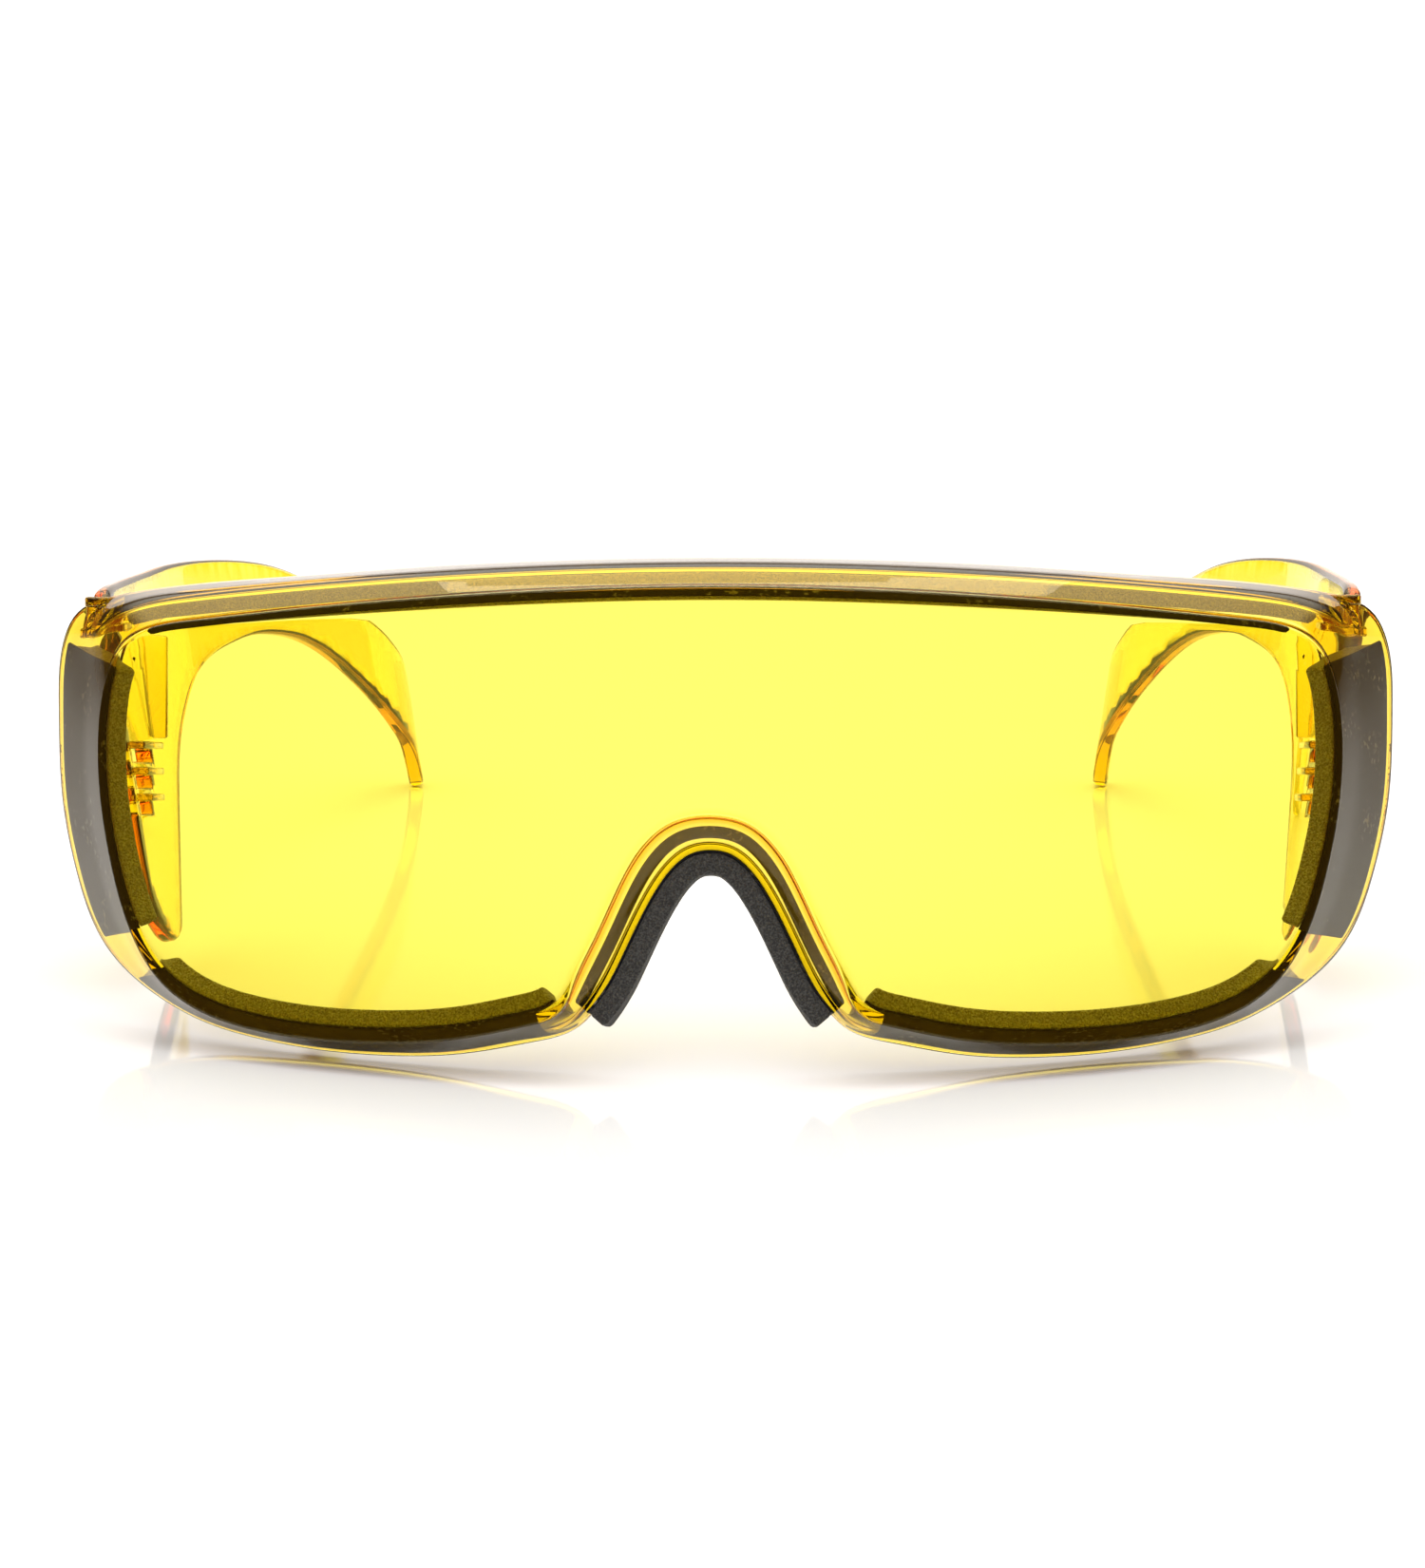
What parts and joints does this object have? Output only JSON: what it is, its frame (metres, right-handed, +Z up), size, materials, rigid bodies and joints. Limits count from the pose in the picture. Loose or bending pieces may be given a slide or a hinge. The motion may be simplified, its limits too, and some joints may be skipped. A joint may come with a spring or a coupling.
{
  "type": "safety glasses",
  "caption": "Fit-over safety glasses: a wrap-round yellow lens front with brow, side and lower guards, foam edge strips, and folding temples with vented side shields.",
  "frame": {"origin": "middle of the table under the open glasses", "axes": "+X to the wearer's left, +Y backwards towards the wearer's ears, +Z up; the lens front leans back 12.1 degrees"},
  "size_m": [0.1656, 0.1686, 0.0593],
  "materials": {
    "yellow_polycarbonate": "clear, polished",
    "amber_pin": "clear, moulded",
    "black_foam": "matte closed-cell foam",
    "black_adhesive": "adhesive film with small air bubbles"
  },
  "bodies": {
    "front": {"front_lens": "yellow_polycarbonate", "left_hinge_pin": "amber_pin", "right_hinge_pin": "amber_pin", "brow_foam": "black_foam", "nose_foam": "black_foam", "left_side_foam": "black_foam", "right_side_foam": "black_foam", "left_lower_foam": "black_foam", "right_lower_foam": "black_foam", "brow_adhesive": "black_adhesive", "nose_adhesive": "black_adhesive", "left_side_adhesive": "black_adhesive", "right_side_adhesive": "black_adhesive", "left_lower_adhesive": "black_adhesive", "right_lower_adhesive": "black_adhesive"},
    "left_temple_arm": {"left_temple": "yellow_polycarbonate"},
    "right_temple_arm": {"right_temple": "yellow_polycarbonate"}
  },
  "joints": [
    {"name": "left_temple_fold", "type": "hinge", "parent": "front", "child": "left_temple_arm", "pos_m": [0.07535, -0.0403, 0.04757], "axis": [0, 0.2096, 0.9778], "range_deg": [0, 82]},
    {"name": "right_temple_fold", "type": "hinge", "parent": "front", "child": "right_temple_arm", "pos_m": [-0.07535, -0.0403, 0.04757], "axis": [0, -0.2096, -0.9778], "range_deg": [0, 75]}
  ]
}
